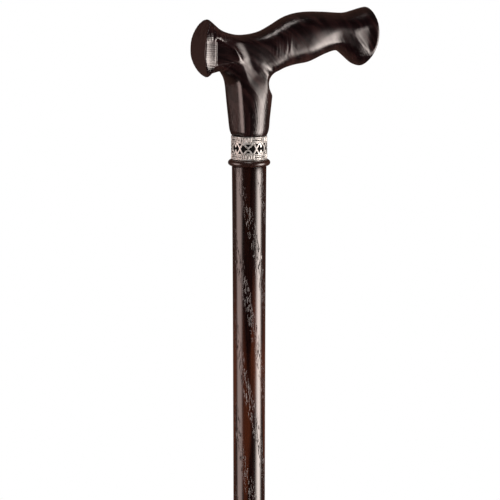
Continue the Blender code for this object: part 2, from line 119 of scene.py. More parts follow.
def drawOut(name, rings, sides, hollow=False, upright=True, squareness=2):
    # a circle pulled out ring by ring: each ring is (middle x, y, z, half width 1, half width 2)
    pick()
    fill = "NOTHING" if hollow else "NGON"
    bpy.ops.mesh.primitive_circle_add(vertices=sides, radius=1, fill_type=fill)
    piece = chosen()
    piece.name = piece.data.name = name
    x, y, z, first, second = rings[0]
    for vertex in piece.data.vertices:
        a, b = vertex.co.x, vertex.co.y
        a = math.copysign(abs(a) ** (2 / squareness), a) * first
        b = math.copysign(abs(b) ** (2 / squareness), b) * second
        vertex.co = (x + a, y + b, z) if upright else (x, y + a, z + b)
    mode("EDIT")
    bpy.ops.mesh.select_all(action="SELECT")
    for here, there in zip(rings, rings[1:]):
        step = [b - a for a, b in zip(here[:3], there[:3])]
        grow = [there[3] / here[3], there[4] / here[4]]
        bpy.ops.mesh.extrude_region_move(TRANSFORM_OT_translate={"value": step})
        scale = (*grow, 1) if upright else (1, *grow)
        bpy.ops.transform.resize(value=scale, center_override=there[:3])
    bpy.ops.mesh.select_all(action="SELECT")
    if hollow:
        bpy.ops.mesh.remove_doubles(threshold=seam)
    bpy.ops.mesh.normals_make_consistent(inside=False)
    mode("OBJECT")
    return piece


def turn(name, profile, sides, hollow=False):
    # a round piece from (radius, height) points
    rings = [(0, 0, height, radius, radius) for radius, height in profile]
    return drawOut(name, rings, sides, hollow)


def applyModifier(piece, kind, **settings):
    pick(piece)
    modifier = piece.modifiers.new(kind.lower(), kind)
    for key, value in settings.items():
        setattr(modifier, key, value)
    bpy.ops.object.modifier_apply(modifier=modifier.name)


def pointsOf(piece):
    places = np.empty(len(piece.data.vertices) * 3)
    piece.data.vertices.foreach_get("co", places)
    return places.reshape(-1, 3)


def movePoints(piece, places):
    piece.data.vertices.foreach_set("co", np.ascontiguousarray(places).ravel())
    piece.data.update()


def polish(piece, crease):
    pick(piece)
    bpy.ops.object.shade_smooth_by_angle(angle=math.radians(crease))


def fit(piece, body, node):
    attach(piece, body)
    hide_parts(node)
    print(f"{piece.name} made, {len(piece.data.polygons)} faces")


# materials: sums are written as expressions

class Wire:
    def __init__(self, tree, socket):
        self.tree, self.socket = tree, socket

    def sum(self, operation, a, b=0.0):
        return self.tree.add("ShaderNodeMath", {"operation": operation}, {0: a, 1: b})

    def __add__(self, other):
        return self.sum("ADD", self, other)

    def __radd__(self, other):
        return self.sum("ADD", other, self)

    def __sub__(self, other):
        return self.sum("SUBTRACT", self, other)

    def __rsub__(self, other):
        return self.sum("SUBTRACT", other, self)

    def __mul__(self, other):
        return self.sum("MULTIPLY", self, other)

    def __rmul__(self, other):
        return self.sum("MULTIPLY", other, self)

    def __truediv__(self, other):
        return self.sum("DIVIDE", self, other)

    def __rtruediv__(self, other):
        return self.sum("DIVIDE", other, self)

    def __pow__(self, other):
        return self.sum("POWER", self, other)

    def __rpow__(self, other):
        return self.sum("POWER", other, self)

    def over(self, other):
        return self.sum("MAXIMUM", self, other)

    def angleFrom(self, other):
        return self.sum("ARCTAN2", self, other)

    def sine(self):
        return self.sum("SINE", self)

    def cosine(self):
        return self.sum("COSINE", self)


class Tree:
    def __init__(self, tree):
        self.nodes, self.links = tree.nodes, tree.links

    def add(self, kind, settings=None, sockets=None, out=0):
        node = self.nodes.new(kind)
        for key, value in (settings or {}).items():
            if key == "stops":
                ramp = node.color_ramp.elements
                while len(ramp) < len(value):
                    ramp.new(0.5)
                for element, (position, colour) in zip(ramp, value):
                    element.position = position
                    element.color = (*colour, 1)
            else:
                setattr(node, key, value)
        for key, value in (sockets or {}).items():
            self.plug(node.inputs[key], value)
        return Wire(self, node.outputs[out])

    def plug(self, socket, value):
        if isinstance(value, Wire):
            self.links.new(value.socket, socket)
        else:
            socket.default_value = value

    def where(self):
        return self.add("ShaderNodeTexCoord", out="Object")

    def split(self, vector):
        x = self.add("ShaderNodeSeparateXYZ", None, {0: vector}, "X")
        node = x.socket.node
        return x, Wire(self, node.outputs["Y"]), Wire(self, node.outputs["Z"])

    def join(self, x, y, z):
        return self.add("ShaderNodeCombineXYZ", None, {0: x, 1: y, 2: z})

    def rise(self, value, start, end, low=0.0, high=1.0):
        # from low to high, smoothly, as the value goes from start to end
        sockets = {0: value, 1: start, 2: end, 3: low, 4: high}
        return self.add("ShaderNodeMapRange", {"interpolation_type": "SMOOTHSTEP"}, sockets)

    def noise(self, vector, scale, detail=2.0, roughness=0.5):
        sockets = {"Vector": vector, "Scale": scale, "Detail": detail, "Roughness": roughness}
        return self.add("ShaderNodeTexNoise", None, sockets)

    def grain(self, places, stretch, detail, roughness=0.5):
        # noise that changes more often along some of three places than along others
        spread = [place * often for place, often in zip(places, stretch)]
        return self.noise(self.join(*spread), 1.0, detail, roughness)

    def ramp(self, value, stops):
        # greys between stops
        colours = [(position, (grey, grey, grey)) for position, grey in stops]
        return self.add("ShaderNodeValToRGB", {"stops": colours}, {0: value})

    def mix(self, share, a, b):
        # each of a and b is a plain colour or a wire
        a, b = (c if isinstance(c, Wire) else (*c, 1) for c in (a, b))
        return self.add("ShaderNodeMix", {"data_type": "RGBA"}, {0: share, 6: a, 7: b}, 2)

    def bump(self, height):
        # heights in millimetres
        sockets = {"Height": height, "Strength": 1.0, "Distance": mm}
        return self.add("ShaderNodeBump", None, sockets)


class Finish(Tree):
    def __init__(self, name):
        self.material = bpy.data.materials.new(name)
        self.material.use_nodes = True
        super().__init__(self.material.node_tree)
        self.shader = self.nodes["Principled BSDF"]

    def set(self, name, value):
        self.plug(self.shader.inputs[name], value)

    def dress(self, piece):
        piece.data.materials.clear()
        piece.data.materials.append(self.material)
        print(f"{piece.name} finished in {self.material.name}")


# the camera stands where the photograph was taken: the shaft's axis, the seat and the picture's
# middle are in its pixels

camera = {"azimuth": -21, "elevation": 8, "lens": 300, "distance": 2.5, "pixel": 0.6 * mm,
          "axisAt": 249.13, "seatAt": 135, "middle": 250, "farthest": 100}


def facing(azimuth, elevation):
    a, e = math.radians(azimuth), math.radians(elevation)
    return Vector((math.sin(a) * math.cos(e), -math.cos(a) * math.cos(e), math.sin(e)))


def makeCamera():
    back = facing(camera["azimuth"], camera["elevation"])
    right = Vector((-back.y, back.x, 0)).normalized()
    up = back.cross(right)
    middle = Vector((0, 0, seatHeight))
    middle += right * (camera["middle"] - camera["axisAt"]) * camera["pixel"]
    middle += up * (camera["seatAt"] - camera["middle"]) * camera["pixel"]
    bpy.ops.object.camera_add()
    eye = chosen()
    eye.data.lens = camera["lens"]
    eye.data.clip_end = camera["farthest"]
    turned = Matrix((right, up, back)).transposed().to_4x4()
    eye.matrix_world = Matrix.Translation(middle + back * camera["distance"]) @ turned
    bpy.context.scene.camera = eye


# soft boxes: the angle is from the camera, and the fades are how much of each side grows dim, for
# front, back, bottom and top

lightsAim = Vector((0.02, 0, 0.89))
lights = {
    "rightBox": {"angle": 68, "elevation": -9, "distance": 1.0, "size": (0.96, 1.35),
                 "brightness": 7.4, "colour": (1.0, 0.88, 0.82), "fades": (0.5, 0.34, 0.12, 0.7)},
    "leftBox": {"angle": -73, "elevation": -2, "distance": 1.0, "size": (1.0, 1.3),
                "brightness": 2.2, "colour": (1.0, 0.76, 0.70), "fades": (0.3, 0.3, 0.1, 0.45)},
    "topLeft": {"angle": -14, "elevation": 74, "distance": 0.8, "size": (0.4, 0.22),
                "brightness": 4.5, "colour": (1.0, 0.90, 0.86), "fades": (0.3, 0.3, 0.3, 0.3)},
}


def makeLights():
    for name, light in lights.items():
        width, height = light["size"]
        direction = facing(camera["azimuth"] + light["angle"], light["elevation"])
        bpy.ops.object.light_add(type="AREA")
        lamp = chosen()
        lamp.name = name
        lamp.data.shape = "RECTANGLE"
        lamp.data.size, lamp.data.size_y = width, height
        lamp.data.energy = light["brightness"] * math.pi * width * height
        lamp.data.color = light["colour"]
        turned = direction.to_track_quat("Z", "Y").to_matrix().to_4x4()
        lamp.matrix_world = Matrix.Translation(lightsAim + direction * light["distance"]) @ turned
        softEdges(lamp.data, light["fades"], light["angle"] < 0)


def softEdges(lamp, fades, mirrored):
    # a real soft box is dimmer towards its edges
    front, back, bottom, top = fades
    lamp.use_nodes = True
    tree = Tree(lamp.node_tree)
    across, high = tree.split(tree.add("ShaderNodeNewGeometry", out="Parametric"))[:2]
    if mirrored:
        across = 1 - across
    level = tree.rise(across, 0, front) * tree.rise(across, 1, 1 - back)
    level = level * tree.rise(high, 0, bottom) * tree.rise(high, 1, 1 - top)
    tree.plug(tree.nodes["Emission"].inputs["Strength"], level)


# the world is white where the camera sees it and plain elsewhere, the floor's rim melts into that
# white, and the cards round the set are dark by the camera and brown behind the cane

surroundings = {"white": (1, 1, 1, 1), "shine": 0.45}
paper = {"radius": 1.6, "sides": 96, "height": -0.2 * mm, "shade": 0.82, "fade": (0.5, 1.5),
         "cloud": (400.0, 3.0), "cloudBand": (0.3, 0.7), "mottle": 0.01, "roughness": 0.8}
card = {"radius": 1.9, "sides": 48, "height": 5.0, "middle": 0.9, "turns": (0.1, -0.45),
        "front": (0.006, 0.0035, 0.003), "back": (0.085, 0.045, 0.034)}


def makeWorld():
    world = bpy.data.worlds.new("studio")
    bpy.context.scene.world = world
    world.use_nodes = True
    tree = Tree(world.node_tree)
    seen = tree.add("ShaderNodeLightPath", out="Is Camera Ray")
    for ray in ("Is Glossy Ray", "Is Transmission Ray"):
        seen = seen.over(tree.add("ShaderNodeLightPath", out=ray))
    background = tree.nodes["Background"]
    background.inputs["Color"].default_value = surroundings["white"]
    strength = seen * (1 - surroundings["shine"]) + surroundings["shine"]
    tree.plug(background.inputs["Strength"], strength)
    bpy.context.scene.view_settings.view_transform = "Standard"


def makeFloor():
    pick()
    bpy.ops.mesh.primitive_circle_add(vertices=paper["sides"], radius=paper["radius"],
                                      fill_type="NGON", location=(0, 0, paper["height"]))
    floor = chosen()
    floor.name = "floor"
    finish = Finish("palePaper")
    where = finish.where()
    x, y = finish.split(where)[:2]
    greys = (paper["shade"] - paper["mottle"], paper["shade"] + paper["mottle"])
    cloud = finish.noise(where, *paper["cloud"])
    finish.set("Base Color", finish.ramp(cloud, list(zip(paper["cloudBand"], greys))))
    finish.set("Roughness", paper["roughness"])
    fade = finish.rise((x * x + y * y) ** 0.5, *paper["fade"])
    clear = finish.add("ShaderNodeBsdfTransparent")
    surface = Wire(finish, finish.shader.outputs[0])
    blend = finish.add("ShaderNodeMixShader", None, {0: fade, 1: surface, 2: clear})
    finish.plug(finish.nodes["Material Output"].inputs["Surface"], blend)
    finish.dress(floor)
    floor.visible_glossy = False


def makeCards():
    # only reflections see them
    pick()
    bpy.ops.mesh.primitive_cylinder_add(vertices=card["sides"], radius=card["radius"],
                                        depth=card["height"], location=(0, 0, card["middle"]))
    cards = chosen()
    cards.name = "darkCards"
    finish = Finish("darkCard")
    x, y = finish.split(finish.where())[:2]
    front = facing(camera["azimuth"], 0)
    towards = (x * front.x + y * front.y) / card["radius"]
    glow = finish.mix(finish.rise(towards, *card["turns"]), card["front"], card["back"])
    finish.set("Base Color", (0, 0, 0, 1))
    finish.set("Emission Color", glow)
    finish.set("Emission Strength", 1.0)
    finish.dress(cards)
    cards.visible_camera = cards.visible_diffuse = False
    cards.visible_shadow = cards.visible_transmission = False


makeCamera()
makeLights()
makeWorld()
makeFloor()
makeCards()
print("camera, lights and stage set")

# the handle: millimetres from the shaft's axis and from the seat, angles in degrees

handle = {
    "head": (  # along: distance, top, bottom, half width
        (-38, 76.6, 31.5, 15.0), (-33, 74.7, 33.0, 13.5), (-31, 73.6, 33.8, 12.7),
        (-28.5, 72.0, 34.9, 12.35), (-25.5, 69.8, 36.9, 12.3), (-19, 64.2, 39.2, 12.35),
        (-12, 61.4, 39.4, 12.5), (-4.6, 60.4, 38.5, 12.1), (6, 61.9, 36.5, 12.0),
        (14, 65.6, 36.4, 12.1), (22, 70.1, 39.8, 12.5), (29, 72.3, 41.6, 12.9),
        (37, 73.1, 42.9, 13.3), (48, 72.7, 47.5, 12.9), (56, 72.0, 49.2, 12.8),
        (61.5, 71.8, 45.2, 13.0), (66.5, 72.9, 40.8, 13.2), (72, 74.4, 39.2, 13.4),
        (78, 75.3, 39.4, 13.6), (86, 75.6, 40.2, 13.6)),
    "headSteps": 100, "squareness": 2.25,
    "stem": (  # up: height, middle, and how far it swells past the seat, lengthways and across
        (-4, 0.0, -0.1, -0.1), (0, 0.0, 0.0, 0.0), (2.5, 0.0, 1.1, 1.05), (10, -0.1, 2.0, 1.5),
        (20, -0.1, 3.2, 1.9), (26, -0.1, 3.9, 1.9), (32, -0.4, 4.5, 1.8), (38, -1.2, 6.0, 1.7),
        (44, -2.5, 7.7, 1.3), (52, -3.6, 7.7, -0.2)),
    "stemSteps": 60, "seatRadius": 10.7, "sides": 72,
    # each end's sawn arc: where it ends, its radius above and below a height, and that height
    "nose": (-33.0, 32.5, 25.5, 51.0),
    "tail": (79.2, 29.5, 34.0, 61.5),
    "arcShare": 0.95,  # as much of an arc's radius as it may turn
    "saw": {"top": 82, "half": 20, "cuts": 60},
    # the two crests, as (distance, height), and how far off the middle the nose's one stands
    "noseRidge": ((-36, 64.6), (-31.5, 63.4), (-27.6, 61.7), (-21.8, 58.9), (-15.0, 54.4),
                  (-10.5, 47.7), (-8.35, 41.3), (-5.5, 32.7), (0.64, 26.9), (5.0, 20.7), (8.5, 14)),
    "tailRidge": ((44, 69.6), (52.3, 67.5), (56.6, 64.8), (60.7, 62.3), (64.5, 57.8),
                  (69.0, 52.4), (71.6, 48.4), (74.5, 42), (77, 36)),
    "noseRim": 12.35,
    "lip": {"width": 1.1, "nose": 0.8, "tail": 0.7, "begins": (30, 42),
            "noseBlend": 0.8, "tailBlend": 0.5},
    "under": {"height": 37.3, "slope": 0.6, "away": 30, "back": (-20.5, -17),
              "front": (-24, -34), "ends": -17, "blend": 0.8},
    "groove": {"middle": -0.8, "height": 30.2, "climb": 5.0, "climbOver": 60, "climbMost": 1.6,
               "above": 8.0, "below": 12.0, "floor": 12.7, "shallower": 3.2,
               "shallows": (28, 88), "out": 9, "runsOut": (75, 105), "within": 23, "blend": 0.5},
    "flat": {"faces": 72, "depth": 0.84, "heights": (0, 2.5, 10, 20, 26, 32, 38),
             "reaches": (10.7, 11.9, 12.6, 13.5, 14.0, 14.6, 15.5), "ends": (30, 38),
             "within": (17.5, 20), "squarely": 0.2, "blend": 1.6},
    "scoop": {"floor": 9.4, "lean": 0.18, "leanFrom": -25, "foot": 4.6, "footAt": (47, 27),
              "out": 3, "runsOut": (30, 20), "cap": 13.4, "capLean": 1.2, "capTop": (64, 58),
              "capFoot": -24.8, "capStep": (0.96, 1.03), "steep": 1.9, "gentle": 0.42,
              "eases": (52, 32), "blend": 2.5, "above": 0.3},
    "dent": {"depth": 1.7, "begins": (-11, -3), "ends": (31, 0), "height": 46, "tall": 8,
             "edge": (0, 5)},
    "bowl": {"width": 7, "wider": 11, "widens": (42, 28), "depth": 2.6, "ends": (30, 13),
             "past": 0.13, "grip": 4, "gripAt": (14, 44), "stem": 3, "stemAt": (22, 12),
             "behind": 2.0},
    "hollow": {"front": (13.2, -0.15, 42), "back": (11.3, 0.14, 53), "meet": 1.0,
               "top": (0.05, 54, 1.5), "fin": 12.2, "finAt": 72, "finBend": (0.0085, 0.05),
               "finTop": (0.02, 61), "wall": 1.5, "blend": 0.9},
    "middleKept": (0, 3),  # the carving fades out this near the plane of symmetry
    "blank": 0.5, "blankPasses": 40,  # the rough block's grid and smoothing
    "grain": 0.44, "passes": 4,  # the carved one's
    "rimReach": 0.9, "rimsAbove": 30, "rimPasses": 10, "smoothing": 0.5, "crease": 70,
}


def ridgeLine(corners, steps=40):
    # close points along a smooth line through the corners
    corners = np.array(corners, float)
    line = []
    for i in range(len(corners) - 1):
        a, b = corners[max(i - 1, 0)], corners[i]
        c, d = corners[i + 1], corners[min(i + 2, len(corners) - 1)]
        t = np.linspace(0, 1, steps, endpoint=False)[:, None]
        bend = (2 * a - 5 * b + 4 * c - d) * t**2 + (3 * b - a - 3 * c + d) * t**3
        line.append(b + 0.5 * ((c - a) * t + bend))
    return np.concatenate(line + [corners[-1:]])


def offRidge(x, z, corners, batch=4000):
    # distance from a ridge, above it and to its right counted as more
    line = ridgeLine(corners)
    run = np.gradient(line, axis=0)
    run /= np.hypot(run[:, 0], run[:, 1])[:, None]
    off = np.empty(len(x))
    for first in range(0, len(x), batch):
        part = slice(first, first + batch)
        dx = x[part, None] - line[:, 0]
        dz = z[part, None] - line[:, 1]
        near = np.argmin(dx**2 + dz**2, axis=1)
        row = np.arange(len(near))
        off[part] = dz[row, near] * run[near, 0] - dx[row, near] * run[near, 1]
    return off


def arcAt(z, end, above, below, height):
    # where an end's sawn arc is at a height
    radius = np.where(z > height, above, below)
    off = np.minimum(np.abs(z - height), handle["arcShare"] * radius)
    back = radius - np.sqrt(radius**2 - off**2)
    return end + back if end < 0 else end - back


def makeSaw():
    # a block with an arc at each end, gridded so that the rims it leaves can be eased
    saw = handle["saw"]
    pick()
    bpy.ops.mesh.primitive_cube_add(size=2)
    block = chosen()
    mode("EDIT")
    bpy.ops.mesh.select_all(action="SELECT")
    bpy.ops.mesh.subdivide(number_cuts=saw["cuts"])
    mode("OBJECT")
    places = pointsOf(block)
    share = (places[:, 0] + 1) / 2
    z = (places[:, 2] + 1) / 2 * saw["top"]
    x = arcAt(z, *handle["nose"]) * (1 - share) + arcAt(z, *handle["tail"]) * share
    y = places[:, 1] * saw["half"]
    movePoints(block, np.stack([x * mm, y * mm, seatHeight + z * mm], axis=1))
    return block


def easeRims(piece):
    # rounds the two sawn rims a little
    group = piece.vertex_groups.new(name="rims")
    places = pointsOf(piece) / mm
    x, z = places[:, 0], places[:, 2] - seatHeight / mm
    off = [np.abs(x - arcAt(z, *handle[end])) for end in ("nose", "tail")]
    near = (np.minimum(*off) < handle["rimReach"]) & (z > handle["rimsAbove"])
    group.add([int(i) for i in np.where(near)[0]], 1.0, "ADD")
    applyModifier(piece, "SMOOTH", factor=handle["smoothing"], iterations=handle["rimPasses"],
                  vertex_group="rims")
    piece.vertex_groups.clear()


def slopeUnderNose(x, y, z):
    # the nose's underside slopes up to each side
    under = handle["under"]
    height = under["height"] + under["slope"] * np.abs(y)
    away = smoothStep(*under["back"], x) + smoothStep(*under["front"], x)
    height = height - under["away"] * away
    return np.where(x < under["ends"], softMax(z, height, under["blend"]), z)


def trimmed(reach, depth, blend):
    # how much of its reach is left of wood that is cut at a depth
    return softMin(reach, depth, blend) / reach


def cutGroove(x, y, z):
    # a groove round the stem's back, under the fingers
    groove = handle["groove"]
    middle = groove["middle"]
    turned = np.arctan2(np.abs(y), x - middle)
    reach = np.hypot(x - middle, y)
    shallows, runsOut = np.radians(groove["shallows"]), np.radians(groove["runsOut"])
    climb = np.minimum(turned / math.radians(groove["climbOver"]), groove["climbMost"])
    off = z - (groove["height"] + groove["climb"] * climb**2)
    gouge = np.where(off > 0, groove["above"], groove["below"])
    depth = groove["floor"] + smoothStep(*shallows, turned) * groove["shallower"]
    depth = depth + groove["out"] * smoothStep(*runsOut, turned)
    depth = depth + gouge - np.sqrt(np.clip(gouge**2 - off**2, 0, None))
    depth = np.where((np.abs(off) >= gouge) | (reach > groove["within"]), far, depth)
    cut = trimmed(reach, depth, groove["blend"])
    return middle + (x - middle) * cut, y * cut


def cutFlat(x, y, z):
    # a long flat down the stem's front, on the near side
    flat = handle["flat"]
    turned = np.degrees(np.arctan2(-x, -y))
    reach = np.hypot(x, y)
    stem = (1 - smoothStep(*flat["ends"], z)) * (1 - smoothStep(*flat["within"], reach))
    across = np.cos(np.radians(turned - flat["faces"]))
    depth = flat["depth"] * np.interp(z, flat["heights"], flat["reaches"])
    least = flat["squarely"]
    depth = np.where(across > least, depth / np.maximum(across, least), far)
    cut = 1 + (trimmed(reach, depth, flat["blend"]) - 1) * stem
    return x * cut, y * cut


def dentFlank(x, half, z):
    # the grip's lower flank, by the bowl
    dent = handle["dent"]
    depth = dent["depth"] * smoothStep(*dent["begins"], x) * smoothStep(*dent["ends"], x)
    return half - depth * hump(dent["tall"], z - dent["height"]) * smoothStep(*dent["edge"], half)


def noseScoop(x, z, off):
    # the scoop to the left of the nose's ridge, with a wall behind the nose's end
    scoop = handle["scoop"]
    end = arcAt(z, *handle["nose"])
    share = (x - end) / (scoop["capFoot"] - end)
    out = scoop["out"] * smoothStep(*scoop["runsOut"], z)
    floor = scoop["floor"] + scoop["lean"] * (x - scoop["leanFrom"])
    floor = floor + scoop["foot"] * smoothStep(*scoop["footAt"], z) + out
    cap = scoop["cap"] - scoop["capLean"] * share * smoothStep(*scoop["capTop"], z)
    floor = floor + (np.maximum(cap, floor) - floor) * (1 - smoothStep(*scoop["capStep"], share))
    slope = scoop["steep"] + (scoop["gentle"] - scoop["steep"]) * smoothStep(*scoop["eases"], z)
    wall = softMax(handle["noseRim"] + slope * off + out, floor, scoop["blend"])
    return np.where(off > 0, np.maximum(wall, handle["noseRim"] + scoop["above"] * off), wall)


def fingerBowl(x, z, off):
    # the bowl to the right of the nose's ridge
    bowl = handle["bowl"]
    width = bowl["width"] + bowl["wider"] * smoothStep(*bowl["widens"], z)
    depth = bowl["depth"] * (1 - smoothStep(*bowl["ends"], z))
    share = np.clip(off / width, 0, 1)
    reach = handle["noseRim"] - depth * (1 - (1 - share) ** 2) + bowl["past"] * beyond(width, off)
    reach = reach + bowl["grip"] * smoothStep(*bowl["gripAt"], x)
    reach = reach + bowl["stem"] * smoothStep(*bowl["stemAt"], z)
    return np.where(off < 0, handle["noseRim"] - bowl["behind"] * off, reach)


def tailHollow(x, z, off):
    # the hollow under the tail's fin
    hollow = handle["hollow"]
    sides = [reach + lean * (x - start) for reach, lean, start in (hollow["front"], hollow["back"])]
    rise, above, power = hollow["top"]
    floor = softMax(*sides, hollow["meet"]) + rise * beyond(above, z) ** power
    rise, above = hollow["finTop"]
    bend = np.where(x < hollow["finAt"], *hollow["finBend"])
    fin = hollow["fin"] + bend * (hollow["finAt"] - x) ** 2 + rise * beyond(above, z) ** 2
    return np.where(off > 0, fin, softMax(floor, fin + hollow["wall"] * off, hollow["blend"]))


def carve(places):
    x, y, z = places[:, 0] / mm, places[:, 1] / mm, (places[:, 2] - seatHeight) / mm
    z = slopeUnderNose(x, y, z)
    x, y = cutGroove(x, y, z)
    x, y = cutFlat(x, y, z)
    half = dentFlank(x, np.abs(y), z)

    lip = handle["lip"]
    off = offRidge(x, z, handle["noseRidge"])
    raised = lip["nose"] * hump(lip["width"], off) * smoothStep(*lip["begins"], z)
    cut = softMin(half, fingerBowl(x, z, off) + raised, lip["noseBlend"])
    cut = softMin(cut, noseScoop(x, z, off) + raised, lip["noseBlend"])
    off = offRidge(x, z, handle["tailRidge"])
    raised = lip["tail"] * hump(lip["width"], off)
    cut = softMin(cut, tailHollow(x, z, off) + raised, lip["tailBlend"])
    cut = half + (np.maximum(cut, 0) - half) * smoothStep(*handle["middleKept"], half)
    return np.stack([x * mm, np.sign(y) * cut * mm, z * mm + seatHeight], axis=1)


def cutWith(piece, tool, operation):
    applyModifier(piece, "BOOLEAN", operation=operation, object=tool, solver="EXACT")
    bpy.data.objects.remove(tool)


def regrid(piece, size, passes):
    applyModifier(piece, "REMESH", mode="VOXEL", voxel_size=size * mm)
    applyModifier(piece, "SMOOTH", factor=handle["smoothing"], iterations=passes)


def makeHandle():
    rings = []
    for x, sizes in evenly(handle["head"], handle["headSteps"]):
        top, bottom, half = sizes * mm
        rings.append((x * mm, 0, seatHeight + (top + bottom) / 2, half, (top - bottom) / 2))
    head = drawOut("handleWood", rings, handle["sides"], upright=False,
                   squareness=handle["squareness"])

    rings = []
    for z, (middle, longer, wider) in evenly(handle["stem"], handle["stemSteps"]):
        longer, wider = (handle["seatRadius"] + longer) * mm, (handle["seatRadius"] + wider) * mm
        rings.append((middle * mm, 0, seatHeight + z * mm, longer, wider))
    cutWith(head, drawOut("stem", rings, handle["sides"]), "UNION")
    regrid(head, handle["blank"], handle["blankPasses"])
    movePoints(head, carve(pointsOf(head)))
    cutWith(head, makeSaw(), "INTERSECT")
    regrid(head, handle["grain"], handle["passes"])
    easeRims(head)
    polish(head, handle["crease"])
    fit(head, "cane", "handle")
    return head


# turned pieces

bead = {"raised": 1.1 * mm, "sides": 96, "steps": 24, "bore": 9.5 * mm, "radius": 12.75 * mm,
        "waist": 10.42 * mm, "crease": 40}
shaft = {"sides": 96, "rows": 90, "closer": 1.3, "flare": 0.5 * mm, "flareLength": 60 * mm,
         "chamfer": 0.8 * mm, "foot": 8.4 * mm, "top": 9.92 * mm, "spigot": 9.2 * mm,
         "shoulderGap": 0.3 * mm, "edge": 0.25 * mm, "rounding": (0.08 * mm, 0.07 * mm),
         "bore": 4.3 * mm, "boreDepth": 45.5 * mm, "boreTip": 0.5 * mm, "crease": 35}


def shoulderHeight():
    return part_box("bead_ring")[0].z + bead["raised"] - shaft["shoulderGap"]


def shaftRadius(height):
    low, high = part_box("shaft")[0].z, shoulderHeight()
    taper = shaft["foot"] + (shaft["top"] - shaft["foot"]) * (height - low) / (high - low)
    return taper + shaft["flare"] * math.exp((height - high) / shaft["flareLength"])


def makeShaft():
    low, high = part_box("shaft")[0].z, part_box("shaft")[1].z
    shoulder, start = shoulderHeight(), low + shaft["chamfer"]
    profile = [(shaftRadius(low) - shaft["chamfer"], low)]
    for share in np.linspace(0, 1, shaft["rows"]):
        height = shoulder - shaft["edge"] - (shoulder - start) * (1 - share) ** shaft["closer"]
        height = max(height, start)
        profile.append((shaftRadius(height), height))
    rim, (inwards, down) = shaftRadius(shoulder), shaft["rounding"]
    bottom = high - shaft["boreDepth"]
    profile += [(rim - inwards, shoulder - down), (rim - shaft["edge"], shoulder)]
    profile += [(shaft["spigot"], shoulder), (shaft["spigot"], high), (shaft["bore"], high)]
    profile += [(shaft["bore"], bottom), (shaft["boreTip"], bottom)]
    piece = turn("shaftWood", profile, shaft["sides"])
    polish(piece, shaft["crease"])
    fit(piece, "cane", "shaft")
    return piece


def makeBead():
    low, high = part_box("bead_ring")[0].z + bead["raised"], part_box("bead_ring")[1].z
    profile = [(bead["bore"], low)]
    for share in np.linspace(0, 1, bead["steps"]):
        angle = math.pi * (share - 0.5)
        height = low + (high - low) / 2 * (1 + math.sin(angle))
        radius = bead["waist"] + (bead["radius"] - bead["waist"]) * math.cos(angle)
        profile.append((radius, height))
    profile += [(bead["bore"], high), (bead["bore"], low)]
    piece = turn("turnedBead", profile, bead["sides"], hollow=True)
    polish(piece, bead["crease"])
    fit(piece, "cane", "bead_ring")
    return piece


# the collar: the pattern goes round four times. Strands are corners as (degrees from a repeat's
# middle, height from -1 to 1), left halves only, and other heights are shares of the collar's

collar = {
    "sides": 640, "rows": 120, "bore": 9.5 * mm, "radius": 10.9 * mm, "relief": 0.42 * mm,
    "boreRelief": 0.5, "crease": 60, "repeats": 4, "turned": -24.4, "band": 0.26,
    # a long strand that crosses its own mirror image, and the dip and the arch inside their eye
    "crossing": ((-45, -0.30), (-40, -0.86), (-36, -0.80), (-27.5, 0.0), (-20, 0.78), (-14, 0.92),
                 (0, 0.95)),
    "dip": ((-20, 0.86), (-12, 0.66), (-5, 0.30), (0, 0.12)),
    "arch": ((-13, -0.92), (-9, -0.62), (-4.5, -0.36), (0, -0.26)),
    "strandHalf": 0.5, "strandCrown": 1.3, "strandSteps": 8, "friezeEdge": 1.02,
    "friezeMost": 1.1,
    "friezeWire": (0.012, 0.46), "endWire": (0.022, 0.40),  # distance, half width in mm
    # upright ribs: their count, and the degrees between which they stand
    "ribs": {"low": (6, -26.6, 22.4), "high": (5, -30.6, 14), "inner": 0.04, "outer": 0.045,
             "upright": 0.40, "level": 0.38, "levels": 2, "levelHeight": 0.92},
}


def strands():
    lines = []
    for name in ("crossing", "dip", "arch"):
        left = collar[name]
        lines.append(left + tuple((-u, v) for u, v in left[-2::-1]))
    return lines + [[(u, -v) for u, v in lines[0]]]


def distanceTo(line, u, v, tall):
    # how far each point is from a line of corners, in millimetres
    around = collar["radius"] / mm * math.radians(1)
    points = ridgeLine([(a * around, b * tall) for a, b in line], collar["strandSteps"])
    best = np.full(u.shape, far)
    for (ax, ay), (bx, by) in zip(points, points[1:]):
        dx, dy = bx - ax, by - ay
        along = (u * around - ax) * dx + (v * tall - ay) * dy
        t = np.clip(along / (dx * dx + dy * dy + tiny), 0, 1)
        best = np.minimum(best, np.hypot(u * around - ax - t * dx, v * tall - ay - t * dy))
    return best


def roundTop(off):
    # a half round: 1 in the middle, 0 from 1 outwards
    return np.sqrt(np.clip(1 - off**2, 0, 1))


def ribbed(wave, half):
    # round-topped ribs, one to each whole number
    return roundTop((wave % 1 - 0.5) / half)


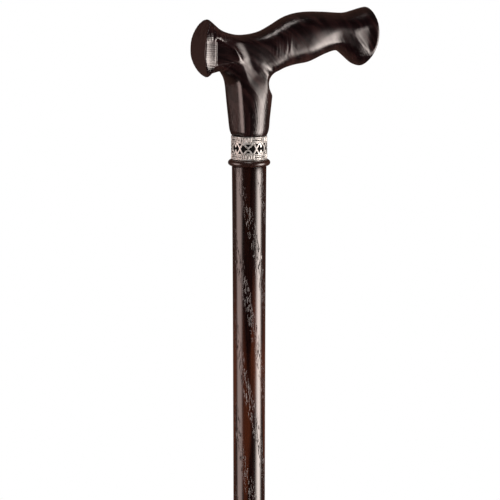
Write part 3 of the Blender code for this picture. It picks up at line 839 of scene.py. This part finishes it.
def reliefOf(turned, share):
    # 1 on top of the metal, 0 in its blackened ground: turned in degrees
    repeat = 360 / collar["repeats"]
    u = (turned - collar["turned"] + repeat / 2) % repeat - repeat / 2
    band, ribs = collar["band"], collar["ribs"]
    height = (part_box("collar")[1].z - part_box("collar")[0].z) / mm
    relief = np.zeros(u.shape)

    # the frieze
    tall = (0.5 - band) * height
    v = (share - 0.5) / (0.5 - band)
    inside = np.abs(v) < collar["friezeEdge"]
    v = np.clip(v, -collar["friezeMost"], collar["friezeMost"])
    for line in strands():
        off = distanceTo(line, u, v, tall) / collar["strandHalf"]
        relief = np.maximum(relief, np.minimum(collar["strandCrown"] * roundTop(off), 1) * inside)

    # a wire along each side of it, and one at each end
    inset, innerHalf = collar["friezeWire"]
    end, outerHalf = collar["endWire"]
    for middle, half in ((band - inset, innerHalf), (1 - band + inset, innerHalf),
                         (end, outerHalf), (1 - end, outerHalf)):
        relief = np.maximum(relief, roundTop(np.abs(share - middle) * height / half))

    # level ribs, broken by short groups of upright ones
    rows = {"low": (ribs["outer"], band - ribs["inner"]),
            "high": (1 - band + ribs["inner"], 1 - ribs["outer"])}
    for name, (low, high) in rows.items():
        count, left, right = ribs[name]
        within = (share > low) & (share < high)
        upright = (u > left) & (u < right) & within
        rib = ribbed((u - left) / (right - left) * count, ribs["upright"])
        relief = np.where(upright, np.maximum(relief, rib), relief)
        rib = ribbed((share - low) / (high - low) * ribs["levels"], ribs["level"])
        rib = ribs["levelHeight"] * rib
        relief = np.where(within & ~upright, np.maximum(relief, rib), relief)
    return relief


def makeCollar():
    low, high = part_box("collar")[0].z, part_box("collar")[1].z
    profile = [(collar["bore"], low)]
    profile += [(collar["radius"], height) for height in np.linspace(low, high, collar["rows"])]
    profile += [(collar["bore"], high), (collar["bore"], low)]
    piece = turn("silverCollar", profile, collar["sides"], hollow=True)
    places = pointsOf(piece)
    reach = np.hypot(places[:, 0], places[:, 1])
    outer = reach > (collar["radius"] + collar["bore"]) / 2
    turned = np.degrees(np.arctan2(places[:, 0], -places[:, 1]))
    share = (places[:, 2] - low) / (high - low)
    relief = np.where(outer, reliefOf(turned, share), collar["boreRelief"])
    sunk = np.where(outer, (1 - relief) * collar["relief"], 0)
    places[:, :2] *= ((reach - sunk) / reach)[:, None]
    movePoints(piece, places)
    raised = piece.data.attributes.new("raised", "FLOAT", "POINT")
    raised.data.foreach_set("value", relief.astype(np.float32))
    polish(piece, collar["crease"])
    fit(piece, "cane", "collar")
    return piece


# the ferrule, in millimetres. Corners are (in from the edge, down from the top or up from the sole)

ferrule = {
    "sides": 96, "crease": 40, "core": 1, "wall": 3.2, "lip": 1.2, "gap": 0.3, "floor": 8.5,
    "tread": (6.0, 10.5), "treadHalf": 1.0, "treadDraft": 0.1, "treadDepth": 1.5,
    "skirt": 7.5, "skirtCorner": ((1.2, 0), (0.6, 0.15), (0.15, 0.6), (0, 1.2)),
    "cone": 7, "coneShares": (0.12, 0.94, 8),
    "rings": (19, 23, 27), "ringHalf": 0.8, "ringCrown": 0.35, "ringRise": 0.45,
    "lipCorners": ((1.2, 4.8), (0.35, 4.0), (0, 3.4), (0, 0.9), (0.3, 0.25), (0.8, 0)),
}


def makeFerrule():
    top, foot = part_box("ferrule")[1].z / mm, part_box("shaft")[0].z
    socket = shaftRadius(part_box("ferrule")[1].z) / mm
    mouth, sole = socket + ferrule["wall"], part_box("ferrule")[1].x / mm
    lip, skirt = mouth + ferrule["lip"], ferrule["skirt"]
    half, draft, depth = ferrule["treadHalf"], ferrule["treadDraft"], ferrule["treadDepth"]
    profile = [(ferrule["core"], 0)]
    for radius in ferrule["tread"]:
        profile += [(radius - half, 0), (radius - half + draft, depth),
                    (radius + half - draft, depth), (radius + half, 0)]
    corner = ferrule["skirtCorner"]
    profile += [(sole - inwards, up) for inwards, up in corner]
    profile += [(sole - inwards, skirt - up) for inwards, up in reversed(corner)]
    neck = sole - corner[0][0]
    for share in np.linspace(*ferrule["coneShares"]):
        profile.append((mouth + (neck - mouth) * (1 - share) ** 3, skirt + ferrule["cone"] * share))
    crown, bulge = ferrule["ringCrown"], mouth + ferrule["ringRise"]
    for ring in ferrule["rings"]:
        profile += [(mouth, ring - ferrule["ringHalf"]), (bulge, ring - crown),
                    (bulge, ring + crown), (mouth, ring + ferrule["ringHalf"])]
    profile += [(lip - inwards, top - down) for inwards, down in ferrule["lipCorners"]]
    profile += [(socket + ferrule["gap"], top),
                (shaftRadius(foot) / mm + ferrule["gap"], ferrule["floor"]),
                (ferrule["core"], ferrule["floor"])]
    profile = [(radius * mm, height * mm) for radius, height in profile]
    piece = turn("rubberFerrule", profile, ferrule["sides"])
    polish(piece, ferrule["crease"])
    fit(piece, "ferrule", "ferrule")
    return piece


# the woods: millimetres from the seat. A grain is (how often it changes along three directions,
# detail, roughness), and a band is the two values between which a pattern comes up

lacquer = {"ior": 1.6, "level": 1.0, "coatRoughness": 0.12}


def woodPlace(finish):
    x, y, z = finish.split(finish.where())
    return x / mm, y / mm, (z - seatHeight) / mm


def gloss(finish, roughness, coat=0.0):
    finish.set("Roughness", roughness)
    finish.set("IOR", lacquer["ior"])
    finish.set("Specular IOR Level", lacquer["level"])
    finish.set("Coat Weight", coat)
    finish.set("Coat Roughness", lacquer["coatRoughness"])


carved = {
    "ringMiddle": (-33, 6), "warp": 5.0, "warpNoise": (0.06, 2.0),
    "lines": ((1.25, 3.0, 0.3), 3.0, 0.6), "figure": ((0.32, 0.9, 0.12), 3.0, 0.6),
    "pores": ((2.6, 14.0, 2.6), 1.0), "curl": ((0.5, 0.2, 0.06), 1.0),
    "lineBand": (0.3, 0.7), "poreBand": (0.60, 0.82), "darkBand": (0.35, 0.65),
    "brownBand": (0.45, 0.65), "endBand": (0.45, 0.2), "endStops": (-18, -21), "arcStep": 0.01,
    "noseCurl": ((-8, -14), (57, 61), 1.5),  # between distances, above a height, how strong
    "gripCurl": ((10, 13), (25, 20), (46, 52), 0.4),
    "tick": 1.1, "ticksFrom": (-24.5, -25.5), "ticksBelow": (64, 62),
    "lineDepth": 0.042, "poreDepth": 0.03, "curlDepth": 1.1, "tickDepth": 0.02,
    "dark": (0.0045, 0.0016, 0.002), "mid": (0.013, 0.0038, 0.0048),
    "brown": (0.034, 0.0115, 0.010), "end": (0.011, 0.0024, 0.0038),
    "pore": (0.003, 0.0015, 0.0015), "poreShare": 0.7,
    "roughness": (0.18, 0.23), "roughBand": (0.3, 0.7), "coat": 0.1,
}


def carvedWood():
    # rings round a point below the nose, which the carving cuts through
    finish = Finish("carvedWood")
    x, y, z = woodPlace(finish)
    middleX, middleZ = carved["ringMiddle"]
    drift = finish.noise(finish.join(x, y, z), *carved["warpNoise"]) - 0.5
    across, up = x - middleX, z - middleZ
    ring = (across * across + up * up) ** 0.5 + drift * carved["warp"]
    rings = (ring, up.angleFrom(across), y)
    lines = finish.rise(finish.grain(rings, *carved["lines"]), *carved["lineBand"])
    figure = finish.grain(rings, *carved["figure"])
    pores = finish.rise(finish.grain(rings, *carved["pores"]), *carved["poreBand"])
    curl = finish.grain((x, y, z), *carved["curl"])
    along, above, strength = carved["noseCurl"]
    curled = finish.rise(x, *along) * finish.rise(z, *above) * strength
    begins, ends, above, strength = carved["gripCurl"]
    grip = finish.rise(x, *begins) * finish.rise(x, *ends) * finish.rise(z, *above) * strength
    curled = curled + grip
    ticks = (z * (fullTurn / carved["tick"])).sine()
    ticks = ticks * finish.rise(x, *carved["ticksFrom"]) * finish.rise(z, *carved["ticksBelow"])

    # the sawn end is one plain tone: its surface is where the arc is
    end, above, below, level = handle["nose"]
    step = carved["arcStep"]
    radius = finish.rise(z, level - step, level + step, below, above)
    back, high = x - end - radius, z - level
    inside = radius - (back * back + high * high) ** 0.5
    sawn = finish.rise(inside, *carved["endBand"]) * finish.rise(x, *carved["endStops"])

    tone = finish.mix(finish.rise(figure, *carved["darkBand"]), carved["dark"], carved["mid"])
    tone = finish.mix(finish.rise(figure, *carved["brownBand"]) * lines, tone, carved["brown"])
    tone = finish.mix(sawn, tone, carved["end"])
    finish.set("Base Color", finish.mix(pores * carved["poreShare"], tone, carved["pore"]))
    gloss(finish, finish.rise(figure, *carved["roughBand"], *carved["roughness"]), carved["coat"])
    height = lines * carved["lineDepth"] - pores * carved["poreDepth"]
    height = height + curl * curled * carved["curlDepth"] + ticks * carved["tickDepth"]
    finish.set("Normal", finish.bump(height))
    return finish


stained = {
    "period": 54, "wind": 5, "start": -105, "warp": 16,  # the figures, which wind down the shaft
    "figureBand": (-0.1, 0.9), "figureFrom": (-35, -80), "figureTop": 0.35,
    "pores": ((1.7, 1.7, 0.24), 2.0), "streaks": ((2.4, 2.4, 0.05), 3.0),
    "patches": ((0.18, 0.18, 0.011), 3.0),
    "poreBand": (0.54, 0.68), "streakBand": (0.35, 0.65), "patchBand": (0.38, 0.60),
    "brownFrom": (-60, -140), "brownTop": 0.15,
    "poreDepth": 0.28, "streakDepth": 0.012, "poreShare": 0.8, "roughness": (0.2, 0.26),
    "dark": (0.004, 0.0005, 0.0003), "red": (0.013, 0.0018, 0.0008),
    "brown": (0.075, 0.016, 0.004), "pore": (0.005, 0.003, 0.003),
}


def stainedWood():
    # long figures full of open pores
    finish = Finish("stainedWood")
    x, y, z = places = woodPlace(finish)
    patches = finish.grain(places, *stained["patches"])
    turned = x.angleFrom(0 - y) + math.radians(-camera["azimuth"])
    wound = z + turned * (stained["wind"] * stained["period"] / fullTurn) - stained["start"]
    wound = wound + (patches - 0.5) * stained["warp"]
    wave = (wound * (fullTurn / stained["period"])).cosine()
    figure = finish.rise(wave, *stained["figureBand"])
    figure = figure * finish.rise(z, *stained["figureFrom"], stained["figureTop"])
    pores = finish.rise(finish.grain(places, *stained["pores"]), *stained["poreBand"]) * figure
    streaks = finish.grain(places, *stained["streaks"])

    tone = finish.mix(finish.rise(streaks, *stained["streakBand"]), stained["dark"], stained["red"])
    brown = finish.rise(patches, *stained["patchBand"])
    brown = brown * finish.rise(z, *stained["brownFrom"], stained["brownTop"])
    tone = finish.mix(brown, tone, stained["brown"])
    finish.set("Base Color", finish.mix(pores * stained["poreShare"], tone, stained["pore"]))
    gloss(finish, finish.rise(pores, 0, 1, *stained["roughness"]))
    height = streaks * stained["streakDepth"] - pores * stained["poreDepth"]
    finish.set("Normal", finish.bump(height))
    return finish


redBead = {"dark": (0.016, 0.005, 0.003), "light": (0.042, 0.014, 0.009),
           "lines": ((1.2, 0.3, 3.0), 3.0), "lineBand": (0.35, 0.65), "roughBand": (0.3, 0.7),
           "roughness": (0.22, 0.32), "coat": 0.1, "depth": 0.02}


def beadWood():
    finish = Finish("redWood")
    lines = finish.grain(woodPlace(finish), *redBead["lines"])
    share = finish.rise(lines, *redBead["lineBand"])
    finish.set("Base Color", finish.mix(share, redBead["dark"], redBead["light"]))
    gloss(finish, finish.rise(lines, *redBead["roughBand"], *redBead["roughness"]), redBead["coat"])
    finish.set("Normal", finish.bump(lines * redBead["depth"]))
    return finish


metal = {"ground": (0.004, 0.004, 0.0035), "worn": (0.36, 0.33, 0.29), "bright": (0.90, 0.89, 0.86),
         "cloud": (900.0, 3.0), "fine": (6000.0, 2.0), "uneven": 0.3, "cleanBand": (0.12, 0.5),
         "brightBand": (0.3, 0.6), "share": 0.55, "level": 0.2, "groundRoughness": 0.8,
         "smoother": 0.48, "speckle": 0.15, "depth": 0.01}


def silver():
    # bright on the raised work, blackened in its ground
    finish = Finish("blackenedSilver")
    where = finish.where()
    raised = finish.add("ShaderNodeAttribute", {"attribute_name": "raised"}, None, "Fac")
    cloud = finish.noise(where, *metal["cloud"])
    fine = finish.noise(where, *metal["fine"])
    clean = finish.rise(raised + (cloud - 0.5) * metal["uneven"], *metal["cleanBand"])
    colour = finish.mix(finish.rise(cloud, *metal["brightBand"]), metal["worn"], metal["bright"])
    roughness = metal["groundRoughness"] - clean * metal["smoother"]
    finish.set("Base Color", finish.mix(clean, metal["ground"], colour))
    finish.set("Metallic", clean * metal["share"])
    finish.set("Specular IOR Level", metal["level"])
    finish.set("Roughness", roughness + (fine - 0.5) * metal["speckle"])
    finish.set("Normal", finish.bump(fine * metal["depth"]))
    return finish


toolSteel = {"dark": (0.42, 0.41, 0.40), "light": (0.56, 0.55, 0.54), "cloud": (300.0, 3.0),
             "cloudBand": (0.3, 0.7), "lines": ((5000, 0, 4000), 2.0), "roughness": 0.25,
             "rougher": 0.2, "depth": 0.01}


def turnedSteel():
    # the pieces nobody sees: bright steel with tool lines
    finish = Finish("turnedSteel")
    where = finish.where()
    x, y, z = finish.split(where)
    reach = (x * x + y * y) ** 0.5
    lines = finish.grain((reach, 0.0, z), *toolSteel["lines"])
    cloud = finish.rise(finish.noise(where, *toolSteel["cloud"]), *toolSteel["cloudBand"])
    finish.set("Base Color", finish.mix(cloud, toolSteel["dark"], toolSteel["light"]))
    finish.set("Metallic", 1.0)
    finish.set("Roughness", toolSteel["roughness"] + lines * toolSteel["rougher"])
    finish.set("Normal", finish.bump(lines * toolSteel["depth"]))
    return finish


rubber = {"dark": (0.014, 0.014, 0.015), "light": (0.022, 0.022, 0.023),
          "dust": (0.10, 0.095, 0.088), "cloud": (150.0, 4.0, 0.6), "fine": (3500.0, 3.0, 0.6),
          "cloudBand": (0.3, 0.7), "dustHeight": (14, 0), "dustBand": (0.42, 0.68),
          "dustShare": 0.35, "roughness": 0.55, "rougher": 0.25, "depth": 0.03}


def blackRubber():
    # dusty towards the sole
    finish = Finish("blackRubber")
    where = finish.where()
    height = finish.split(where)[2] / mm
    cloud = finish.noise(where, *rubber["cloud"])
    fine = finish.noise(where, *rubber["fine"])
    dust = finish.rise(height, *rubber["dustHeight"]) * finish.rise(cloud, *rubber["dustBand"])
    tone = finish.mix(finish.rise(cloud, *rubber["cloudBand"]), rubber["dark"], rubber["light"])
    finish.set("Base Color", finish.mix(dust * rubber["dustShare"], tone, rubber["dust"]))
    finish.set("Roughness", rubber["roughness"] + fine * rubber["rougher"])
    finish.set("Normal", finish.bump(fine * rubber["depth"]))
    return finish


carvedWood().dress(makeHandle())
stainedWood().dress(makeShaft())
beadWood().dress(makeBead())
silver().dress(makeCollar())
blackRubber().dress(makeFerrule())
steel = turnedSteel()
for name in ("handle_stud", "ferrule_washer"):
    steel.dress(bpy.data.objects[name])

print("done")
